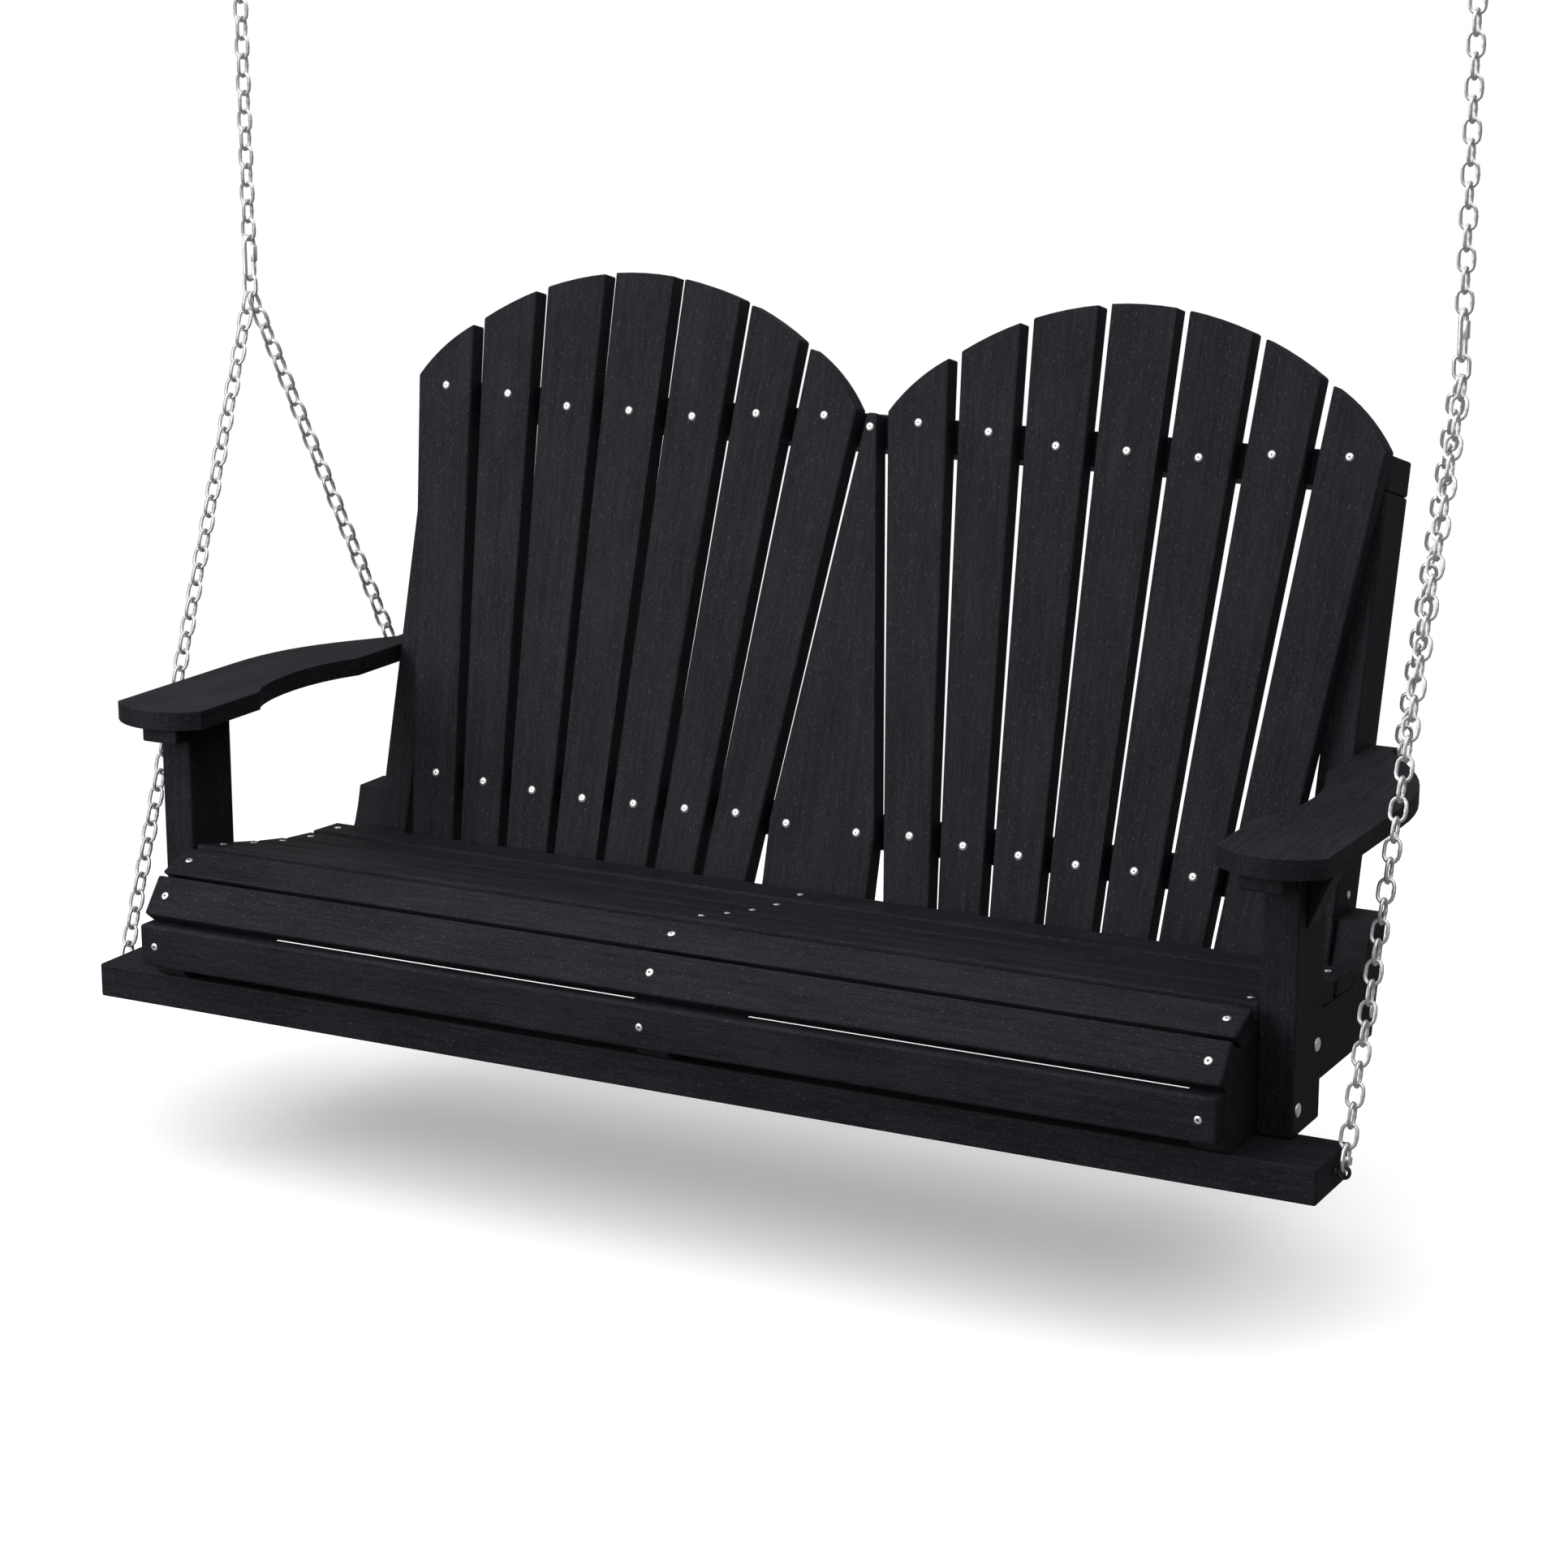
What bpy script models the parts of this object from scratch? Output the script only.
"""A two-seat porch swing with a double fan back, hung on four chains from two ceiling eyes.

Metres, +Z up. The origin is on the ceiling, midway between the two ceiling eyes. +X runs along the
bench, and the sitter faces -Y. The bench is laid out in its own coordinates, from the middle of the
front rail's lower front edge, and bench() moves such a point to where it hangs.
"""
import bpy
import bmesh
import math
from mathutils import Vector

# ---------------------------------------------------------------- driving dimensions
GAP = 0.0003                # left between pieces that touch
HOOK = 0.0012               # left between hooked wires, whose bends are short straights
FRAME_T = 0.0381            # framing boards
SEAT_SLAT_T = 0.0210
BACK_SLAT_T = 0.0254
ARM_T = 0.021

SEAT_W = 1.260              # over the outer faces of the side boards
RAIL_D = 0.0889             # front rail, front to back
RAIL_OVERHANG = 0.0490      # past the arm post, at each end
POST_D = 0.0775             # arm post, front to back
POST_SETBACK = 0.0645       # arm post behind the rail's front
ARM_TOP = 0.3336            # above the rail's underside

BACK_RAKE = math.radians(15.1)
BACK_FOOT_Y = 0.3158        # where the back's front plane meets the rail's underside
BACK_POST_D = 0.0711        # square to the back
BACK_LENGTH = 0.8050        # up the slope, from the foot to the top of each fan
SLAT_FOOT = 0.0950          # lower ends of the back slats, up the slope
LOWER_RAIL_S = 0.2065       # middle of the lower back rail, up the slope
UPPER_RAIL_S = 0.6488       # middle of the upper back rail
FAN_RADIUS = 0.370          # the arc that cuts the tops of a fan's inner slats
END_RADIUS = 0.1955         # the tighter arc that cuts the top of its two outer slats
END_ARC_X = 0.1231          # the middle of that arc, from the fan's middle
END_ARC_DROP = 0.2410       # and below the top of the fan
FAN_SPREAD = 1.795          # the slats' edges meet this far below the seat level
SEAT_LEVEL_S = 0.1333       # where the slat widths are measured, up the slope
FAN_WIDTHS = (0.0545, 0.0557, 0.0515, 0.0560)   # middle slat of a fan first
FAN_GAP = 0.0104

HORN_TOP = 0.1655           # the side board's rear horn, which holds the back post
HORN_W = 0.0490
HORN_INSET = 0.0075         # behind the front of the back post, square to the back

EYE_LINK_WIRE = 0.0020      # radius of the chain's wire
EYE_LINK_W = 0.0196         # over the wires
EYE_LINK_PITCH = 0.0205     # inside length
UPPER_LINKS = 16            # links between the quick link and the ceiling eye
QUICK_WIRE = 0.0022
QUICK_W = 0.0170            # between the middles of the two legs
QUICK_L = 0.0540            # over all
RAIL_QUICK_L = 0.0300
CHAIN_ROD = 0.0035          # radius of the plain rod that stands for a run of chain
JUNCTION_H = 0.7480         # middle of the junction link's lower wire, above the rail's underside
JUNCTION_Y = 0.3336         # from the rail's front
JUNCTION_OUT = 0.0020       # outside the rail's end
FRONT_EYE_Y = 0.0550
REAR_EYE_Y = 0.4710
EYE_WIRE = 0.0019
EYE_RING = 0.0060           # radius of an eye bolt's ring, to the middle of its wire
SHANK = 0.0030
SHANK_L = 0.0450
CEILING_WIRE = 0.0025
CEILING_DROP = 0.0300       # from the ceiling to the middle of the eye's lower wire
PLATE = (0.070, 0.036, 0.004)

# Seat slats, from the front: the middle of the upper face (y, z), its slope and the slat's width.
SEAT_SLATS = (
    ("front_slat_low", -0.0387, 0.0825, 90.0, 0.0470),
    ("front_slat_middle", -0.0160, 0.1349, 52.0, 0.0470),
    ("front_slat_top", 0.0290, 0.1635, 19.7, 0.0490),
    ("seat_slat_1", 0.0941, 0.1668, -10.5, 0.0500),
    ("seat_slat_2", 0.1515, 0.1545, -11.6, 0.0500),
    ("seat_slat_3", 0.2073, 0.1437, -9.8, 0.0500),
    ("seat_slat_4", 0.2636, 0.1353, -5.7, 0.0500),
    ("seat_slat_5", 0.3189, 0.1325, -3.0, 0.0500),
)
FRONT_CORNER_R = 0.0240     # lower front corner of the side boards

# ---------------------------------------------------------------- sizes that follow from them
SIDE_OUT = SEAT_W / 2
SIDE_IN = SIDE_OUT - FRAME_T
BACK_POST_OUT = SIDE_IN - GAP
BACK_POST_IN = BACK_POST_OUT - FRAME_T
POST_IN = SIDE_OUT + GAP
POST_OUT = POST_IN + FRAME_T
RAIL_HALF = POST_OUT + RAIL_OVERHANG
ARM_UNDER = ARM_TOP - ARM_T
FRAME_BOTTOM = FRAME_T + GAP            # underside of what stands on the rail
BACK_REAR = BACK_SLAT_T + GAP           # front of the back's frame, behind the slats' front plane
FAN_OUTER = FAN_WIDTHS[0] / 2 + sum(FAN_WIDTHS[1:]) + 3 * FAN_GAP
CENTRE_FOOT_HALF = 0.0748               # half of the centre wedge at the seat
FAN_X = CENTRE_FOOT_HALF + FAN_GAP + FAN_OUTER
FAN_ARC_S = BACK_LENGTH - FAN_RADIUS
END_ARC_S = BACK_LENGTH - END_ARC_DROP
LINK_ARC = EYE_LINK_W / 2 - EYE_LINK_WIRE
LINK_SPAN = EYE_LINK_PITCH + 2 * EYE_LINK_WIRE      # between the middles of a link's end wires
JUNCTION_TOP = JUNCTION_H + LINK_SPAN
QUICK_LOW = JUNCTION_TOP - EYE_LINK_WIRE - QUICK_WIRE - HOOK
QUICK_HIGH = QUICK_LOW + QUICK_L - 2 * QUICK_WIRE
CEILING_PIVOT = QUICK_HIGH - QUICK_WIRE + UPPER_LINKS * EYE_LINK_PITCH - CEILING_WIRE
CEILING_H = CEILING_PIVOT + CEILING_DROP
JUNCTION_X = RAIL_HALF + JUNCTION_OUT
UP = Vector((0, math.sin(BACK_RAKE), math.cos(BACK_RAKE)))       # up the back's slope
BEHIND = Vector((0, math.cos(BACK_RAKE), -math.sin(BACK_RAKE)))  # square to the back
SMALL = 1e-5


def bench(x, y, z):
    """A point of the bench, moved to where the bench hangs."""
    return Vector((x, y - JUNCTION_Y, z - CEILING_H))


def on_back(x, s, t):
    """A point x along the bench, s up the back's slope and t behind the slats' front plane."""
    return bench(x, BACK_FOOT_Y, 0) + s * UP + t * BEHIND


# ---------------------------------------------------------------- scene, materials and helpers
for old in list(bpy.data.objects):
    bpy.data.objects.remove(old, do_unlink=True)

swing = bpy.data.collections.new("porch_swing")
cutters = bpy.data.collections.new("cutters")
for group in (swing, cutters):
    bpy.context.scene.collection.children.link(group)


def material(name, colour, roughness, metallic):
    mat = bpy.data.materials.new(name)
    mat.use_nodes = True
    shader = mat.node_tree.nodes["Principled BSDF"]
    shader.inputs["Base Color"].default_value = (*colour, 1)
    shader.inputs["Roughness"].default_value = roughness
    shader.inputs["Metallic"].default_value = metallic
    return mat


LUMBER = ("poly_lumber", (0.016, 0.016, 0.019), 0.6, 0.0)
STEEL = ("bright_steel", (0.75, 0.75, 0.76), 0.25, 1.0)
DARK_STEEL = ("black_steel", (0.02, 0.02, 0.02), 0.4, 0.8)


def pivot(name, place):
    """An empty on a joint's axis, which carries the pieces that turn with it."""
    empty = bpy.data.objects.new(name, None)
    swing.objects.link(empty)
    empty.location = place
    return empty


ceiling = pivot("ceiling", (0, 0, 0))
left_chain_pivot = pivot("left_chain_pivot", bench(-JUNCTION_X, JUNCTION_Y, CEILING_PIVOT))
right_chain_pivot = pivot("right_chain_pivot", bench(JUNCTION_X, JUNCTION_Y, CEILING_PIVOT))
bench_pivot = pivot("bench_pivot", bench(0, JUNCTION_Y, JUNCTION_H))
bpy.context.view_layer.update()
SIDES = (("left", -1, left_chain_pivot), ("right", 1, right_chain_pivot))


def finish(obj, finish_of, carrier):
    """Give a piece its own material and hang it on its empty without moving it."""
    label, colour, roughness, metallic = finish_of
    obj.data.materials.clear()
    obj.data.materials.append(material(f"{obj.name}_{label}", colour, roughness, metallic))
    bpy.context.view_layer.update()
    obj.parent = carrier
    obj.matrix_parent_inverse = carrier.matrix_world.inverted()
    return obj


def add_object(name, data, group=swing):
    obj = bpy.data.objects.new(name, data)
    group.objects.link(obj)
    return obj


def mesh_from(name, build, group=swing):
    """A mesh object whose shape a bmesh function makes."""
    mesh = bpy.data.meshes.new(name)
    work = bmesh.new()
    build(work)
    work.to_mesh(mesh)
    work.free()
    return add_object(name, mesh, group)


def ease(obj, width, segments=2):
    """Round a piece's sharp edges."""
    weld = obj.modifiers.new("weld", 'WELD')
    weld.merge_threshold = SMALL
    bevel = obj.modifiers.new("eased_edges", 'BEVEL')
    bevel.width = width
    bevel.segments = segments
    bevel.limit_method = 'ANGLE'
    bevel.angle_limit = math.radians(35)
    return obj


def board(name, size, middle, turn=(0, 0, 0), eased=0.0025):
    """A straight board: a cube stretched to size, with eased edges."""
    def build(work):
        bmesh.ops.create_cube(work, size=1)
        bmesh.ops.scale(work, vec=size, verts=work.verts)
    obj = mesh_from(name, build)
    obj.location = middle
    obj.rotation_euler = turn
    return ease(obj, eased)


def plate(name, outline, thickness, place, turn=(0, 0, 0), eased=0.0025, segments=2):
    """A flat outline of (x, y) points, extruded evenly to both sides of its own plane."""
    curve = bpy.data.curves.new(name, 'CURVE')
    curve.dimensions = '2D'
    curve.fill_mode = 'BOTH'
    curve.extrude = thickness / 2
    spline = curve.splines.new('POLY')
    spline.points.add(len(outline) - 1)
    for point, (x, y) in zip(spline.points, outline):
        point.co = (x, y, 0, 1)
    spline.use_cyclic_u = True
    drawn = add_object(name + "_outline", curve)
    solid = solid_of(drawn, name)
    solid.location = place
    solid.rotation_euler = turn
    return ease(solid, eased, segments)


def solid_of(drawn, name):
    """Turn a curve object into a welded mesh object, in the same place."""
    bpy.context.view_layer.update()
    source = drawn.evaluated_get(bpy.context.evaluated_depsgraph_get())
    mesh = bpy.data.meshes.new_from_object(source)
    work = bmesh.new()
    work.from_mesh(mesh)
    bmesh.ops.remove_doubles(work, verts=work.verts, dist=SMALL)
    bmesh.ops.recalc_face_normals(work, faces=work.faces)
    work.to_mesh(mesh)
    work.free()
    obj = add_object(name, mesh)
    obj.matrix_world = drawn.matrix_world
    bpy.data.objects.remove(drawn, do_unlink=True)
    return obj


def rod(name, start, end, radius, group=swing, sides=10):
    """A round rod between two points."""
    run = end - start

    def build(work):
        bmesh.ops.create_cone(work, cap_ends=True, segments=sides, radius1=radius,
                              radius2=radius, depth=run.length)
    obj = mesh_from(name, build, group)
    obj.location = (start + end) / 2
    obj.rotation_euler = run.to_track_quat('Z', 'Y').to_euler()
    return obj


def wire_loop(name, points, radius):
    """A closed loop of wire through the points."""
    curve = bpy.data.curves.new(name, 'CURVE')
    curve.dimensions = '3D'
    curve.bevel_depth = radius
    curve.bevel_resolution = 2
    spline = curve.splines.new('POLY')
    spline.points.add(len(points) - 1)
    for point, place in zip(spline.points, points):
        point.co = (*place, 1)
    spline.use_cyclic_u = True
    return solid_of(add_object(name + "_wire", curve), name)


def combine(obj, others, operation):
    """Join the other solids to this one, or cut them out of it."""
    for other in others:
        change = obj.modifiers.new(other.name, 'BOOLEAN')
        change.operation = operation
        change.solver = 'EXACT'
        change.object = other
        other.hide_render = True
        other.display_type = 'WIRE'
        for group in list(other.users_collection):
            group.objects.unlink(other)
        cutters.objects.link(other)


def bezier(a, b, c, d, count):
    """Points along a cubic curve from a to d, without its first point."""
    out = []
    for i in range(1, count + 1):
        t = i / count
        u = 1 - t
        out.append(tuple(u**3 * a[k] + 3 * u * u * t * b[k] + 3 * u * t * t * c[k] + t**3 * d[k]
                         for k in range(2)))
    return out


def crossing(p, along_p, q, along_q):
    """Where the line through p meets the line through q."""
    det = along_p.x * -along_q.y + along_q.x * along_p.y
    step = q - p
    t = (step.x * -along_q.y + along_q.x * step.y) / det
    return p + t * along_p


ALONG_YZ = (math.pi / 2, 0, math.pi / 2)    # lays an outline's x, y along +Y, +Z
ALONG_XZ = (math.pi / 2, 0, 0)              # lays an outline's x, y along +X, +Z


# ---------------------------------------------------------------- front rail, posts, cleats
def front_rail():
    rail = board("front_rail", (2 * RAIL_HALF, RAIL_D, FRAME_T),
                 bench(0, RAIL_D / 2, FRAME_T / 2))
    bores = []
    for side, sign, _ in SIDES:
        mouth = bench(sign * (RAIL_HALF + 2 * GAP), FRONT_EYE_Y, FRAME_T / 2)
        deep = mouth - Vector((sign * (SHANK_L + 4 * GAP), 0, 0))
        bores.append(rod(f"{side}_rail_bore", mouth, deep, SHANK + GAP, cutters, 12))
    combine(rail, bores, 'DIFFERENCE')
    finish(rail, LUMBER, bench_pivot)


def arm_supports(side, sign):
    x = sign * (POST_IN + FRAME_T / 2)
    tall = ARM_UNDER - GAP - FRAME_BOTTOM
    post = board(f"{side}_arm_post", (FRAME_T, POST_D, tall),
                 bench(x, POST_SETBACK + POST_D / 2, FRAME_BOTTOM + tall / 2))
    cleat_w, cleat_t, inboard = 0.0460, 0.0180, 0.0073
    cleat = board(f"{side}_arm_cleat", (cleat_w, FRAME_T, cleat_t),
                  bench(x - sign * inboard, POST_SETBACK - GAP - FRAME_T / 2,
                        ARM_UNDER - GAP - cleat_t / 2))
    wide, high, setback = 0.0287, 0.0675, 0.0210
    gusset = plate(f"{side}_arm_gusset", [(0, 0), (sign * wide, 0), (0, -high)], FRAME_T,
                   bench(sign * (POST_OUT + GAP), POST_SETBACK + setback + FRAME_T / 2,
                         ARM_UNDER - GAP), ALONG_XZ, 0.0015, 1)
    for piece in (post, cleat, gusset):
        finish(piece, LUMBER, bench_pivot)


# ---------------------------------------------------------------- arms
ARM_FRONT_W = 0.1130        # the arm's widest part
ARM_FRONT_Y = 0.0370        # its two front corners, with a round front edge between them
ARM_FRONT_BOW = 0.0260
ARM_REAR_W = 0.0286         # beside the back post
ARM_REAR_Y = 0.4865


def arm_front(inner, outer):
    """The round front edge: an arc from the inner front corner to the outer one."""
    half = (outer - inner) / 2
    radius = (half**2 + ARM_FRONT_BOW**2) / (2 * ARM_FRONT_BOW)
    centre_y = ARM_FRONT_Y - ARM_FRONT_BOW + radius
    points = []
    for i in range(13):
        x = -half + half * i / 6
        points.append((inner + half + x, centre_y - math.sqrt(radius**2 - x**2)))
    return points


def arm(side, sign):
    """A contoured arm: round front, waisted inner edge, outer edge drawn in to the back post."""
    inner = SIDE_IN
    outer = inner + ARM_FRONT_W
    rear = inner + ARM_REAR_W
    points = arm_front(inner, outer)
    points.append((outer, 0.255))
    points += bezier((outer, 0.255), (outer, 0.325), (outer - 0.0188, 0.372),
                     (outer - 0.0500, 0.4182), 8)
    points.append((rear, REAR_EYE_Y - 0.004))
    points += [(rear, ARM_REAR_Y), (inner, ARM_REAR_Y), (inner, 0.345)]
    points += bezier((inner, 0.345), (inner + 0.0395, 0.265), (inner + 0.0175, 0.165),
                     (inner, 0.147), 10)
    outline = [(sign * x, y) for x, y in points]
    piece = plate(f"{side}_arm", outline, ARM_T, bench(0, 0, ARM_TOP - ARM_T / 2), eased=0.003)
    combine(piece, [rear_eye_bore(side, sign, "arm")], 'DIFFERENCE')
    finish(piece, LUMBER, bench_pivot)


def rear_eye_place(sign):
    """The middle of the rear eye bolt's ring."""
    out = SIDE_IN + ARM_REAR_W + GAP + EYE_RING + EYE_WIRE
    return bench(sign * out, REAR_EYE_Y, ARM_TOP - ARM_T / 2)


def rear_eye_bore(side, sign, host):
    """The hole that the rear eye bolt's shank needs, through the arm and into the back post."""
    mouth = rear_eye_place(sign) - Vector((sign * EYE_RING, 0, 0))
    deep = mouth - Vector((sign * (SHANK_L + 4 * GAP), 0, 0))
    return rod(f"{side}_{host}_bore", mouth, deep, SHANK + GAP, cutters, 12)


# ---------------------------------------------------------------- seat
def slat_frame(station):
    """A seat slat's middle, its direction towards the back and its direction into the seat."""
    _, y, z, slope, _ = station
    a = math.radians(slope)
    return Vector((y, z)), Vector((math.cos(a), math.sin(a))), Vector((math.sin(a), -math.cos(a)))


def under_corners(station):
    """The two points of a rib's edge, just under the ends of a seat slat."""
    middle, along, into = slat_frame(station)
    sunk = middle + (SEAT_SLAT_T + GAP) * into
    half = station[4] / 2 * along
    return [sunk - half, sunk + half]


def mitred_top_slat(station, below):
    """Section of the top front slat: its lower edge is cut along the upper edge of the slat below."""
    slit = 0.0045
    middle, along, into = slat_frame(station)
    low_middle, low_along, low_into = slat_frame(below)
    edge = low_middle + (below[4] / 2 + slit) * low_along
    upper = middle + station[4] / 2 * along
    face_low = crossing(middle, along, edge, low_into)
    back_low = crossing(middle + SEAT_SLAT_T * into, along, edge, low_into)
    return [face_low, upper, upper + SEAT_SLAT_T * into, back_low]


def seat_slats():
    long = 2 * (SIDE_OUT - GAP)
    for i, station in enumerate(SEAT_SLATS):
        name, _, _, slope, wide = station
        if name == "front_slat_top":
            section = mitred_top_slat(station, SEAT_SLATS[i - 1])
            piece = plate(name, [tuple(p) for p in section], long, bench(0, 0, 0), ALONG_YZ, 0.003)
        else:
            middle, _, into = slat_frame(station)
            centre = middle + SEAT_SLAT_T / 2 * into
            piece = board(name, (long, wide, SEAT_SLAT_T), bench(0, *centre),
                          (math.radians(slope), 0, 0), 0.003)
        finish(piece, LUMBER, bench_pivot)


def rib_front():
    """The edge of a rib from its foot at the rail, round the front and back under the slats."""
    a_face = under_corners(SEAT_SLATS[0])[0].x
    r = FRONT_CORNER_R
    foot = FRAME_BOTTOM
    edge = []
    for i in range(5):
        turn = math.pi / 8 * i
        edge.append((a_face + r - r * math.sin(turn), foot + r - r * math.cos(turn)))
    mitre = mitred_top_slat(SEAT_SLATS[2], SEAT_SLATS[1])
    for station in SEAT_SLATS:
        low, high = under_corners(station)
        if station[0] == "front_slat_top":
            low = Vector(mitre[3]) + GAP * slat_frame(station)[2]
        edge += [tuple(low), tuple(high)]
    return edge[:5] + edge[6:]


def back_plane_y(z, t):
    """How far back a plane parallel to the back, t behind the slats' front, is at height z."""
    return BACK_FOOT_Y + z * math.tan(BACK_RAKE) + t / math.cos(BACK_RAKE)


def centre_rib():
    edge = rib_front()
    last = edge[-1]
    edge.append((back_plane_y(last[1], -2 * GAP), last[1]))
    edge.append((back_plane_y(FRAME_BOTTOM, -2 * GAP), FRAME_BOTTOM))
    piece = plate("centre_rib", edge, FRAME_T, bench(0, 0, 0), ALONG_YZ, 0.0015, 1)
    finish(piece, LUMBER, bench_pivot)


def side_board(side, sign):
    """A side board: the rib's shape, with a horn at the rear that leans with the back."""
    edge = rib_front()
    base_z = edge[-1][1]
    front = BACK_REAR + HORN_INSET
    flare = 0.030
    foot = (back_plane_y(base_z, front) - 0.020, base_z)
    shoulder = (back_plane_y(base_z + flare, front), base_z + flare)
    bend = (back_plane_y(base_z, front) - 0.002, base_z + 0.002)
    edge.append(foot)
    edge += bezier(foot, bend, bend, shoulder, 4)
    edge.append((back_plane_y(HORN_TOP, front), HORN_TOP))
    edge.append((back_plane_y(HORN_TOP, front + HORN_W), HORN_TOP))
    edge.append((back_plane_y(FRAME_BOTTOM, front + HORN_W), FRAME_BOTTOM))
    middle = sign * (SIDE_OUT - FRAME_T / 2)
    piece = plate(f"{side}_side_board", edge, FRAME_T, bench(middle, 0, 0), ALONG_YZ, 0.0015, 1)
    finish(piece, LUMBER, bench_pivot)


# ---------------------------------------------------------------- back
RAKED = (math.pi / 2 - BACK_RAKE, 0, 0)     # lays an outline's y up the back's slope


def spread(s):
    """How much wider the fan is at s than at the seat."""
    return 1 + (s - SEAT_LEVEL_S) / FAN_SPREAD


def fan_top(u, outer):
    """Height of the arc that cuts an inner or an outer slat, u away from the fan's middle."""
    if outer:
        return END_ARC_S + math.sqrt(END_RADIUS**2 - (abs(u) - END_ARC_X)**2)
    return FAN_ARC_S + math.sqrt(FAN_RADIUS**2 - u**2)


def edge_top(u, outer):
    """Where the slat edge that is u from the fan's middle at the seat meets its arc."""
    s = UPPER_RAIL_S
    for _ in range(40):
        s = (s + fan_top(u * spread(s), outer)) / 2
    return u * spread(s), s


def fan_slat_outline(low, high):
    """Outline of one fan slat between two edges, given at the seat level."""
    outer = max(abs(low), abs(high)) > FAN_OUTER - SMALL
    start, end = edge_top(low, outer), edge_top(high, outer)
    arc = []
    steps = 8 if outer else 4
    for i in range(steps + 1):
        u = end[0] + (start[0] - end[0]) * i / steps
        arc.append((u, fan_top(u, outer)))
    foot = spread(SLAT_FOOT)
    return [(low * foot, SLAT_FOOT), (high * foot, SLAT_FOOT)] + arc


def back_slats():
    """Both fans, each from its left edge to its right, and the wedge between them."""
    place = on_back(0, 0, BACK_SLAT_T / 2)
    for side, sign, _ in SIDES:
        edge = -FAN_OUTER
        widths = (*reversed(FAN_WIDTHS), *FAN_WIDTHS[1:])
        for number, width in enumerate(widths, 1):
            outline = [(sign * FAN_X + u, s) for u, s in fan_slat_outline(edge, edge + width)]
            name = f"{side}_back_slat_{number}"
            finish(plate(name, outline, BACK_SLAT_T, place, RAKED), LUMBER, bench_pivot)
            edge += width + FAN_GAP
    centre_slat(place)


def centre_slat(place):
    """The wedge between the fans: a board whose edges are upright below the lower rail, and above it
    run a gap away from the fans' outer slats."""
    top = 0.6665

    def half(s):
        return FAN_X - (FAN_OUTER + FAN_GAP) * spread(s)
    wide = half(LOWER_RAIL_S)
    outline = [(-wide, SLAT_FOOT), (wide, SLAT_FOOT), (wide, LOWER_RAIL_S),
               (half(top), top), (-half(top), top), (-wide, LOWER_RAIL_S)]
    finish(plate("centre_back_slat", outline, BACK_SLAT_T, place, RAKED), LUMBER, bench_pivot)


def back_frame():
    depth = BACK_REAR + BACK_POST_D / 2
    lower = board("lower_back_rail", (2 * (BACK_POST_IN - GAP), FRAME_T, BACK_POST_D),
                  on_back(0, LOWER_RAIL_S, depth), RAKED)
    upper = board("upper_back_rail", (2 * BACK_POST_OUT, FRAME_T, BACK_POST_D),
                  on_back(0, UPPER_RAIL_S, depth), RAKED)
    finish(lower, LUMBER, bench_pivot)
    finish(upper, LUMBER, bench_pivot)
    foot = 0.0600
    top = UPPER_RAIL_S - FRAME_T / 2 - GAP
    for side, sign, _ in SIDES:
        x = sign * (BACK_POST_IN + FRAME_T / 2)
        post = board(f"{side}_back_post", (FRAME_T, top - foot, BACK_POST_D),
                     on_back(x, (foot + top) / 2, depth), RAKED)
        combine(post, [rear_eye_bore(side, sign, "post")], 'DIFFERENCE')
        finish(post, LUMBER, bench_pivot)


# ---------------------------------------------------------------- hardware
def oval(middle, along, across, span, arc):
    """Points of a long loop: two half circles of radius arc, span apart over the wire's middle."""
    points = []
    straight = (span - 2 * arc) / 2
    for end in (1, -1):
        for i in range(7):
            turn = math.pi * i / 6
            points.append(middle + end * (straight + arc * math.sin(turn)) * along
                          + end * arc * math.cos(turn) * across)
    return points


def ring(middle, radius, count=16):
    """Points of a ring that stands in the XZ plane."""
    return [middle + radius * Vector((math.cos(a), 0, math.sin(a)))
            for a in (2 * math.pi * i / count for i in range(count))]


def eye_bolt(name, middle, sign, into):
    """A ring with a shank that runs inwards along X, made as one piece."""
    eye = wire_loop(name, ring(middle, EYE_RING), EYE_WIRE)
    root = middle - Vector((sign * EYE_RING, 0, 0))
    shank = rod(name + "_shank", root, root - Vector((sign * into, 0, 0)), SHANK)
    combine(eye, [shank], 'UNION')
    return finish(eye, DARK_STEEL, bench_pivot)


def hex_nut(name, middle, along, radius, length):
    """A hexagonal sleeve along a leg of a quick link."""
    return rod(name, middle - along * length / 2, middle + along * length / 2, radius, sides=6)


def ceiling_eye(side, sign):
    """A plate that is screwed to the ceiling, with a bow of wire for the chain."""
    x = sign * JUNCTION_X
    pivot_z = CEILING_PIVOT
    arc = 0.0090

    def build(work):
        bmesh.ops.create_cube(work, size=1)
        bmesh.ops.scale(work, vec=PLATE, verts=work.verts)
    eye = mesh_from(f"{side}_ceiling_eye", build)
    eye.location = bench(x, JUNCTION_Y, CEILING_H - PLATE[2] / 2)
    top = CEILING_H - PLATE[2] / 2
    bow = wire_loop(f"{side}_bow", oval(bench(x, JUNCTION_Y, (top + pivot_z) / 2), Vector((0, 0, 1)),
                                        Vector((1, 0, 0)), top - pivot_z, arc), CEILING_WIRE)
    combine(eye, [bow], 'UNION')
    finish(eye, STEEL, ceiling)


def chain_rod(name, start, end, carrier, trim_start, trim_end):
    """The plain rod that stands for one run of chain, held back from what it hangs on."""
    way = (end - start).normalized()
    return finish(rod(name, start + trim_start * way, end - trim_end * way, CHAIN_ROD),
                  STEEL, carrier)


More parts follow.
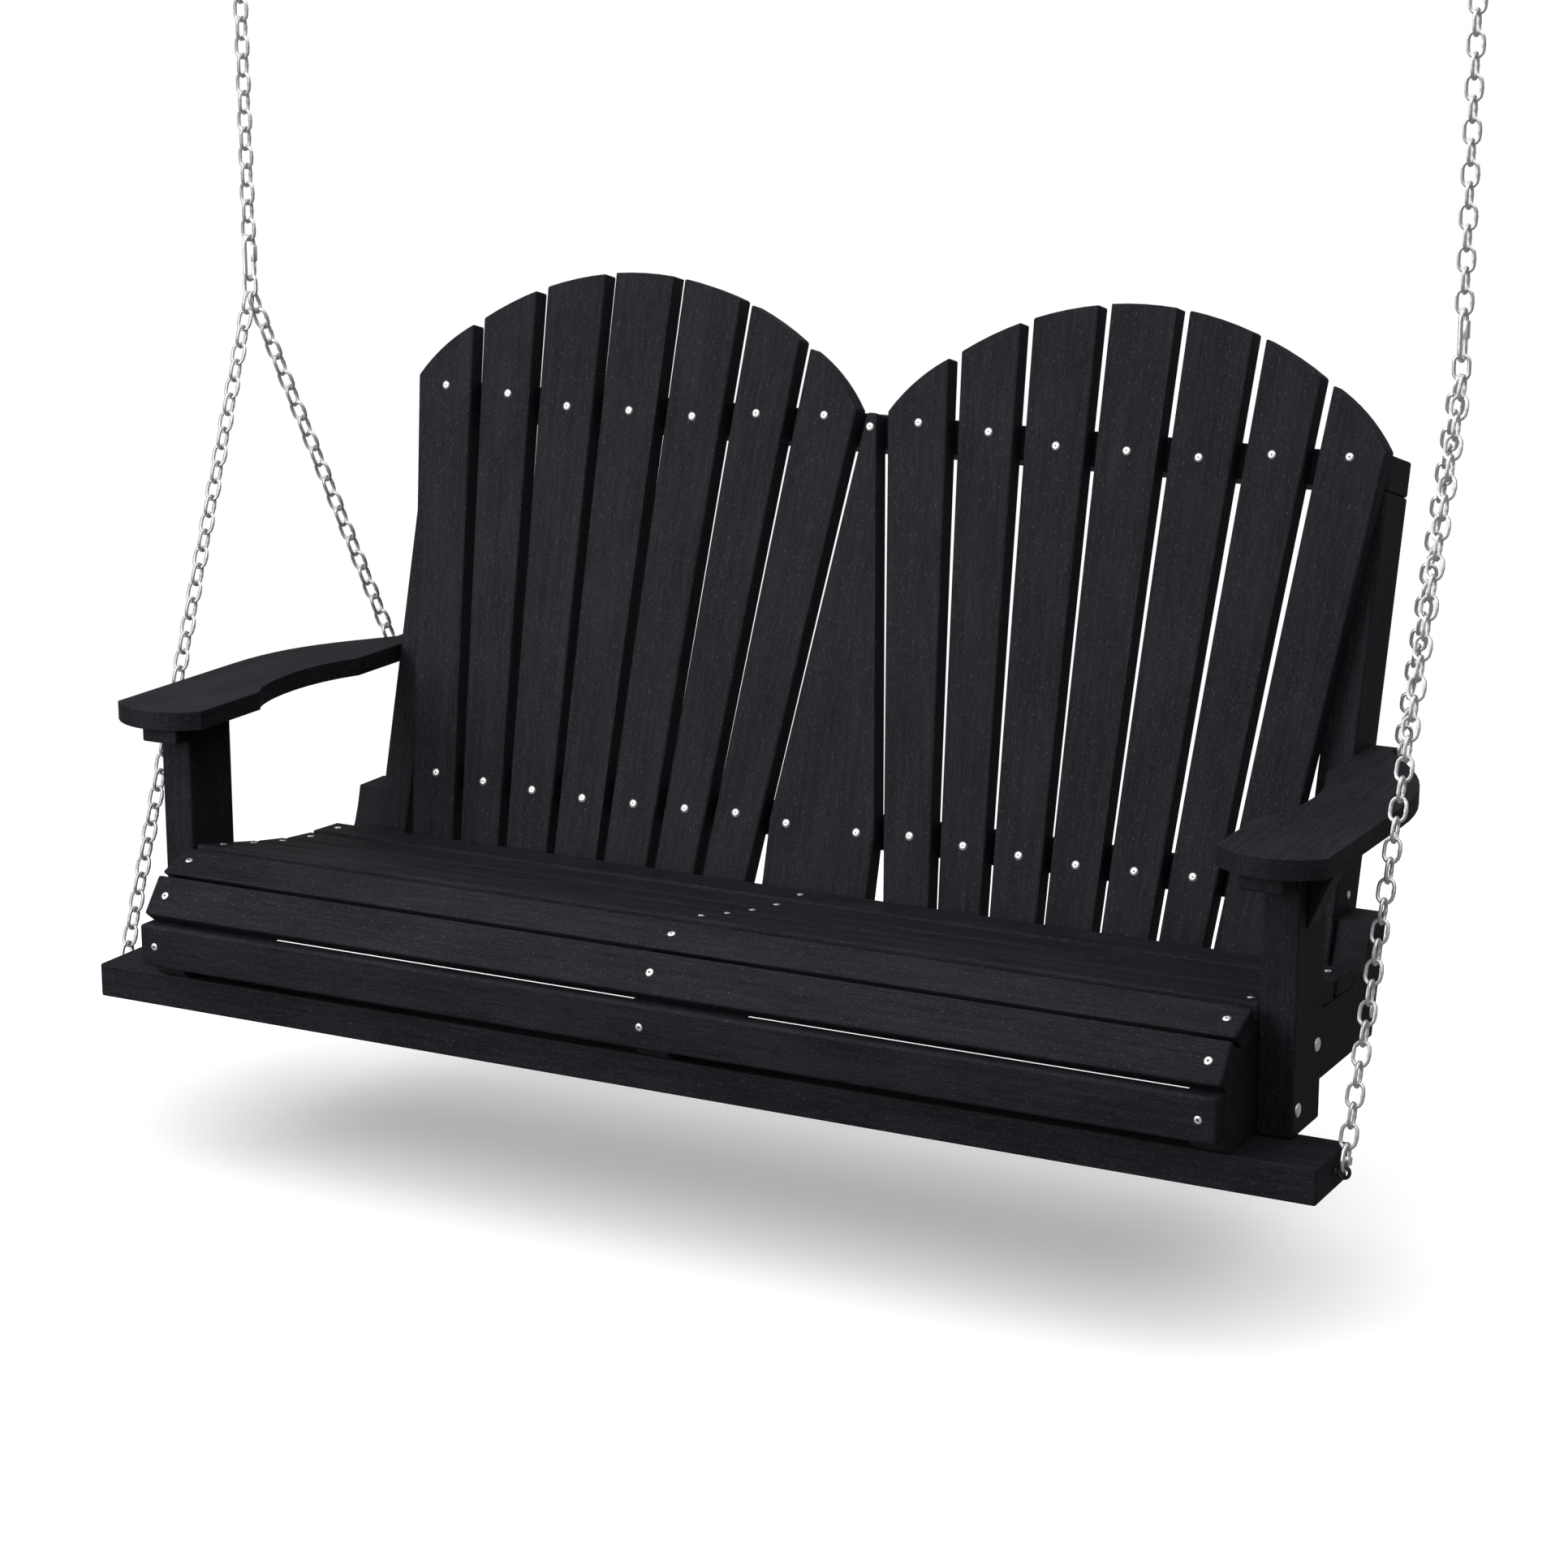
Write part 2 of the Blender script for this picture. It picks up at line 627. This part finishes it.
def upper_chain(side, sign, carrier):
    x = sign * JUNCTION_X
    up = Vector((0, 0, 1))
    chain_rod(f"{side}_upper_chain", bench(x, JUNCTION_Y, CEILING_PIVOT),
              bench(x, JUNCTION_Y, QUICK_HIGH), carrier, CEILING_WIRE + GAP, QUICK_WIRE + GAP)
    middle = bench(x, JUNCTION_Y, (QUICK_LOW + QUICK_HIGH) / 2)
    link = wire_loop(f"{side}_quick_link", oval(middle, up, Vector((0, 1, 0)),
                                                QUICK_HIGH - QUICK_LOW, QUICK_W / 2), QUICK_WIRE)
    finish(link, STEEL, carrier)
    sleeve_at = middle + Vector((0, QUICK_W / 2, 0.0045))
    sleeve = hex_nut(f"{side}_quick_link_sleeve", sleeve_at, up, 0.0044, 0.0180)
    bore = rod(f"{side}_sleeve_bore", sleeve_at - 0.02 * up, sleeve_at + 0.02 * up,
               QUICK_WIRE + 2 * GAP, cutters, 12)
    combine(sleeve, [bore], 'DIFFERENCE')
    finish(sleeve, STEEL, carrier)
    loop = oval(bench(x, JUNCTION_Y, (JUNCTION_H + JUNCTION_TOP) / 2), up, Vector((1, 0, 0)),
                LINK_SPAN, LINK_ARC)
    finish(wire_loop(f"{side}_junction_link", loop, EYE_LINK_WIRE), STEEL, carrier)


def lower_chains(side, sign):
    """The front and rear chains, which start side by side on the junction link's lower wire."""
    beside = Vector((CHAIN_ROD + GAP, 0, 0))
    junction = bench(sign * JUNCTION_X, JUNCTION_Y, JUNCTION_H)
    hold = EYE_LINK_WIRE + GAP
    eye = bench(sign * (RAIL_HALF + GAP + EYE_RING + EYE_WIRE), FRONT_EYE_Y, FRAME_T / 2)
    eye_bolt(f"{side}_front_eye_bolt", eye, sign, SHANK_L)
    low = eye + Vector((0, 0, EYE_RING - EYE_WIRE - QUICK_WIRE - HOOK))
    start = junction + sign * beside
    way = (start - low).normalized()
    span = RAIL_QUICK_L - 2 * QUICK_WIRE
    across = Vector((1, 0, 0)).cross(way).normalized()
    link = wire_loop(f"{side}_rail_quick_link", oval(low + span / 2 * way, way, across,
                                                     span, QUICK_W / 2), QUICK_WIRE)
    nut = hex_nut(f"{side}_rail_nut", low + (span / 2 - 0.003) * way - QUICK_W / 2 * across, way,
                  0.0044, 0.0070)
    combine(link, [nut], 'UNION')
    finish(link, STEEL, bench_pivot)
    chain_rod(f"{side}_front_chain", start, low + span * way, bench_pivot, hold, QUICK_WIRE + GAP)
    rear = rear_eye_place(sign)
    eye_bolt(f"{side}_rear_eye_bolt", rear, sign, SHANK_L)
    chain_rod(f"{side}_rear_chain", junction - sign * beside, rear, bench_pivot, hold,
              EYE_RING + EYE_WIRE + 2 * GAP)


front_rail()
seat_slats()
centre_rib()
back_slats()
back_frame()
for side, sign, carrier in SIDES:
    side_board(side, sign)
    arm_supports(side, sign)
    arm(side, sign)
    ceiling_eye(side, sign)
    upper_chain(side, sign, carrier)
    lower_chains(side, sign)
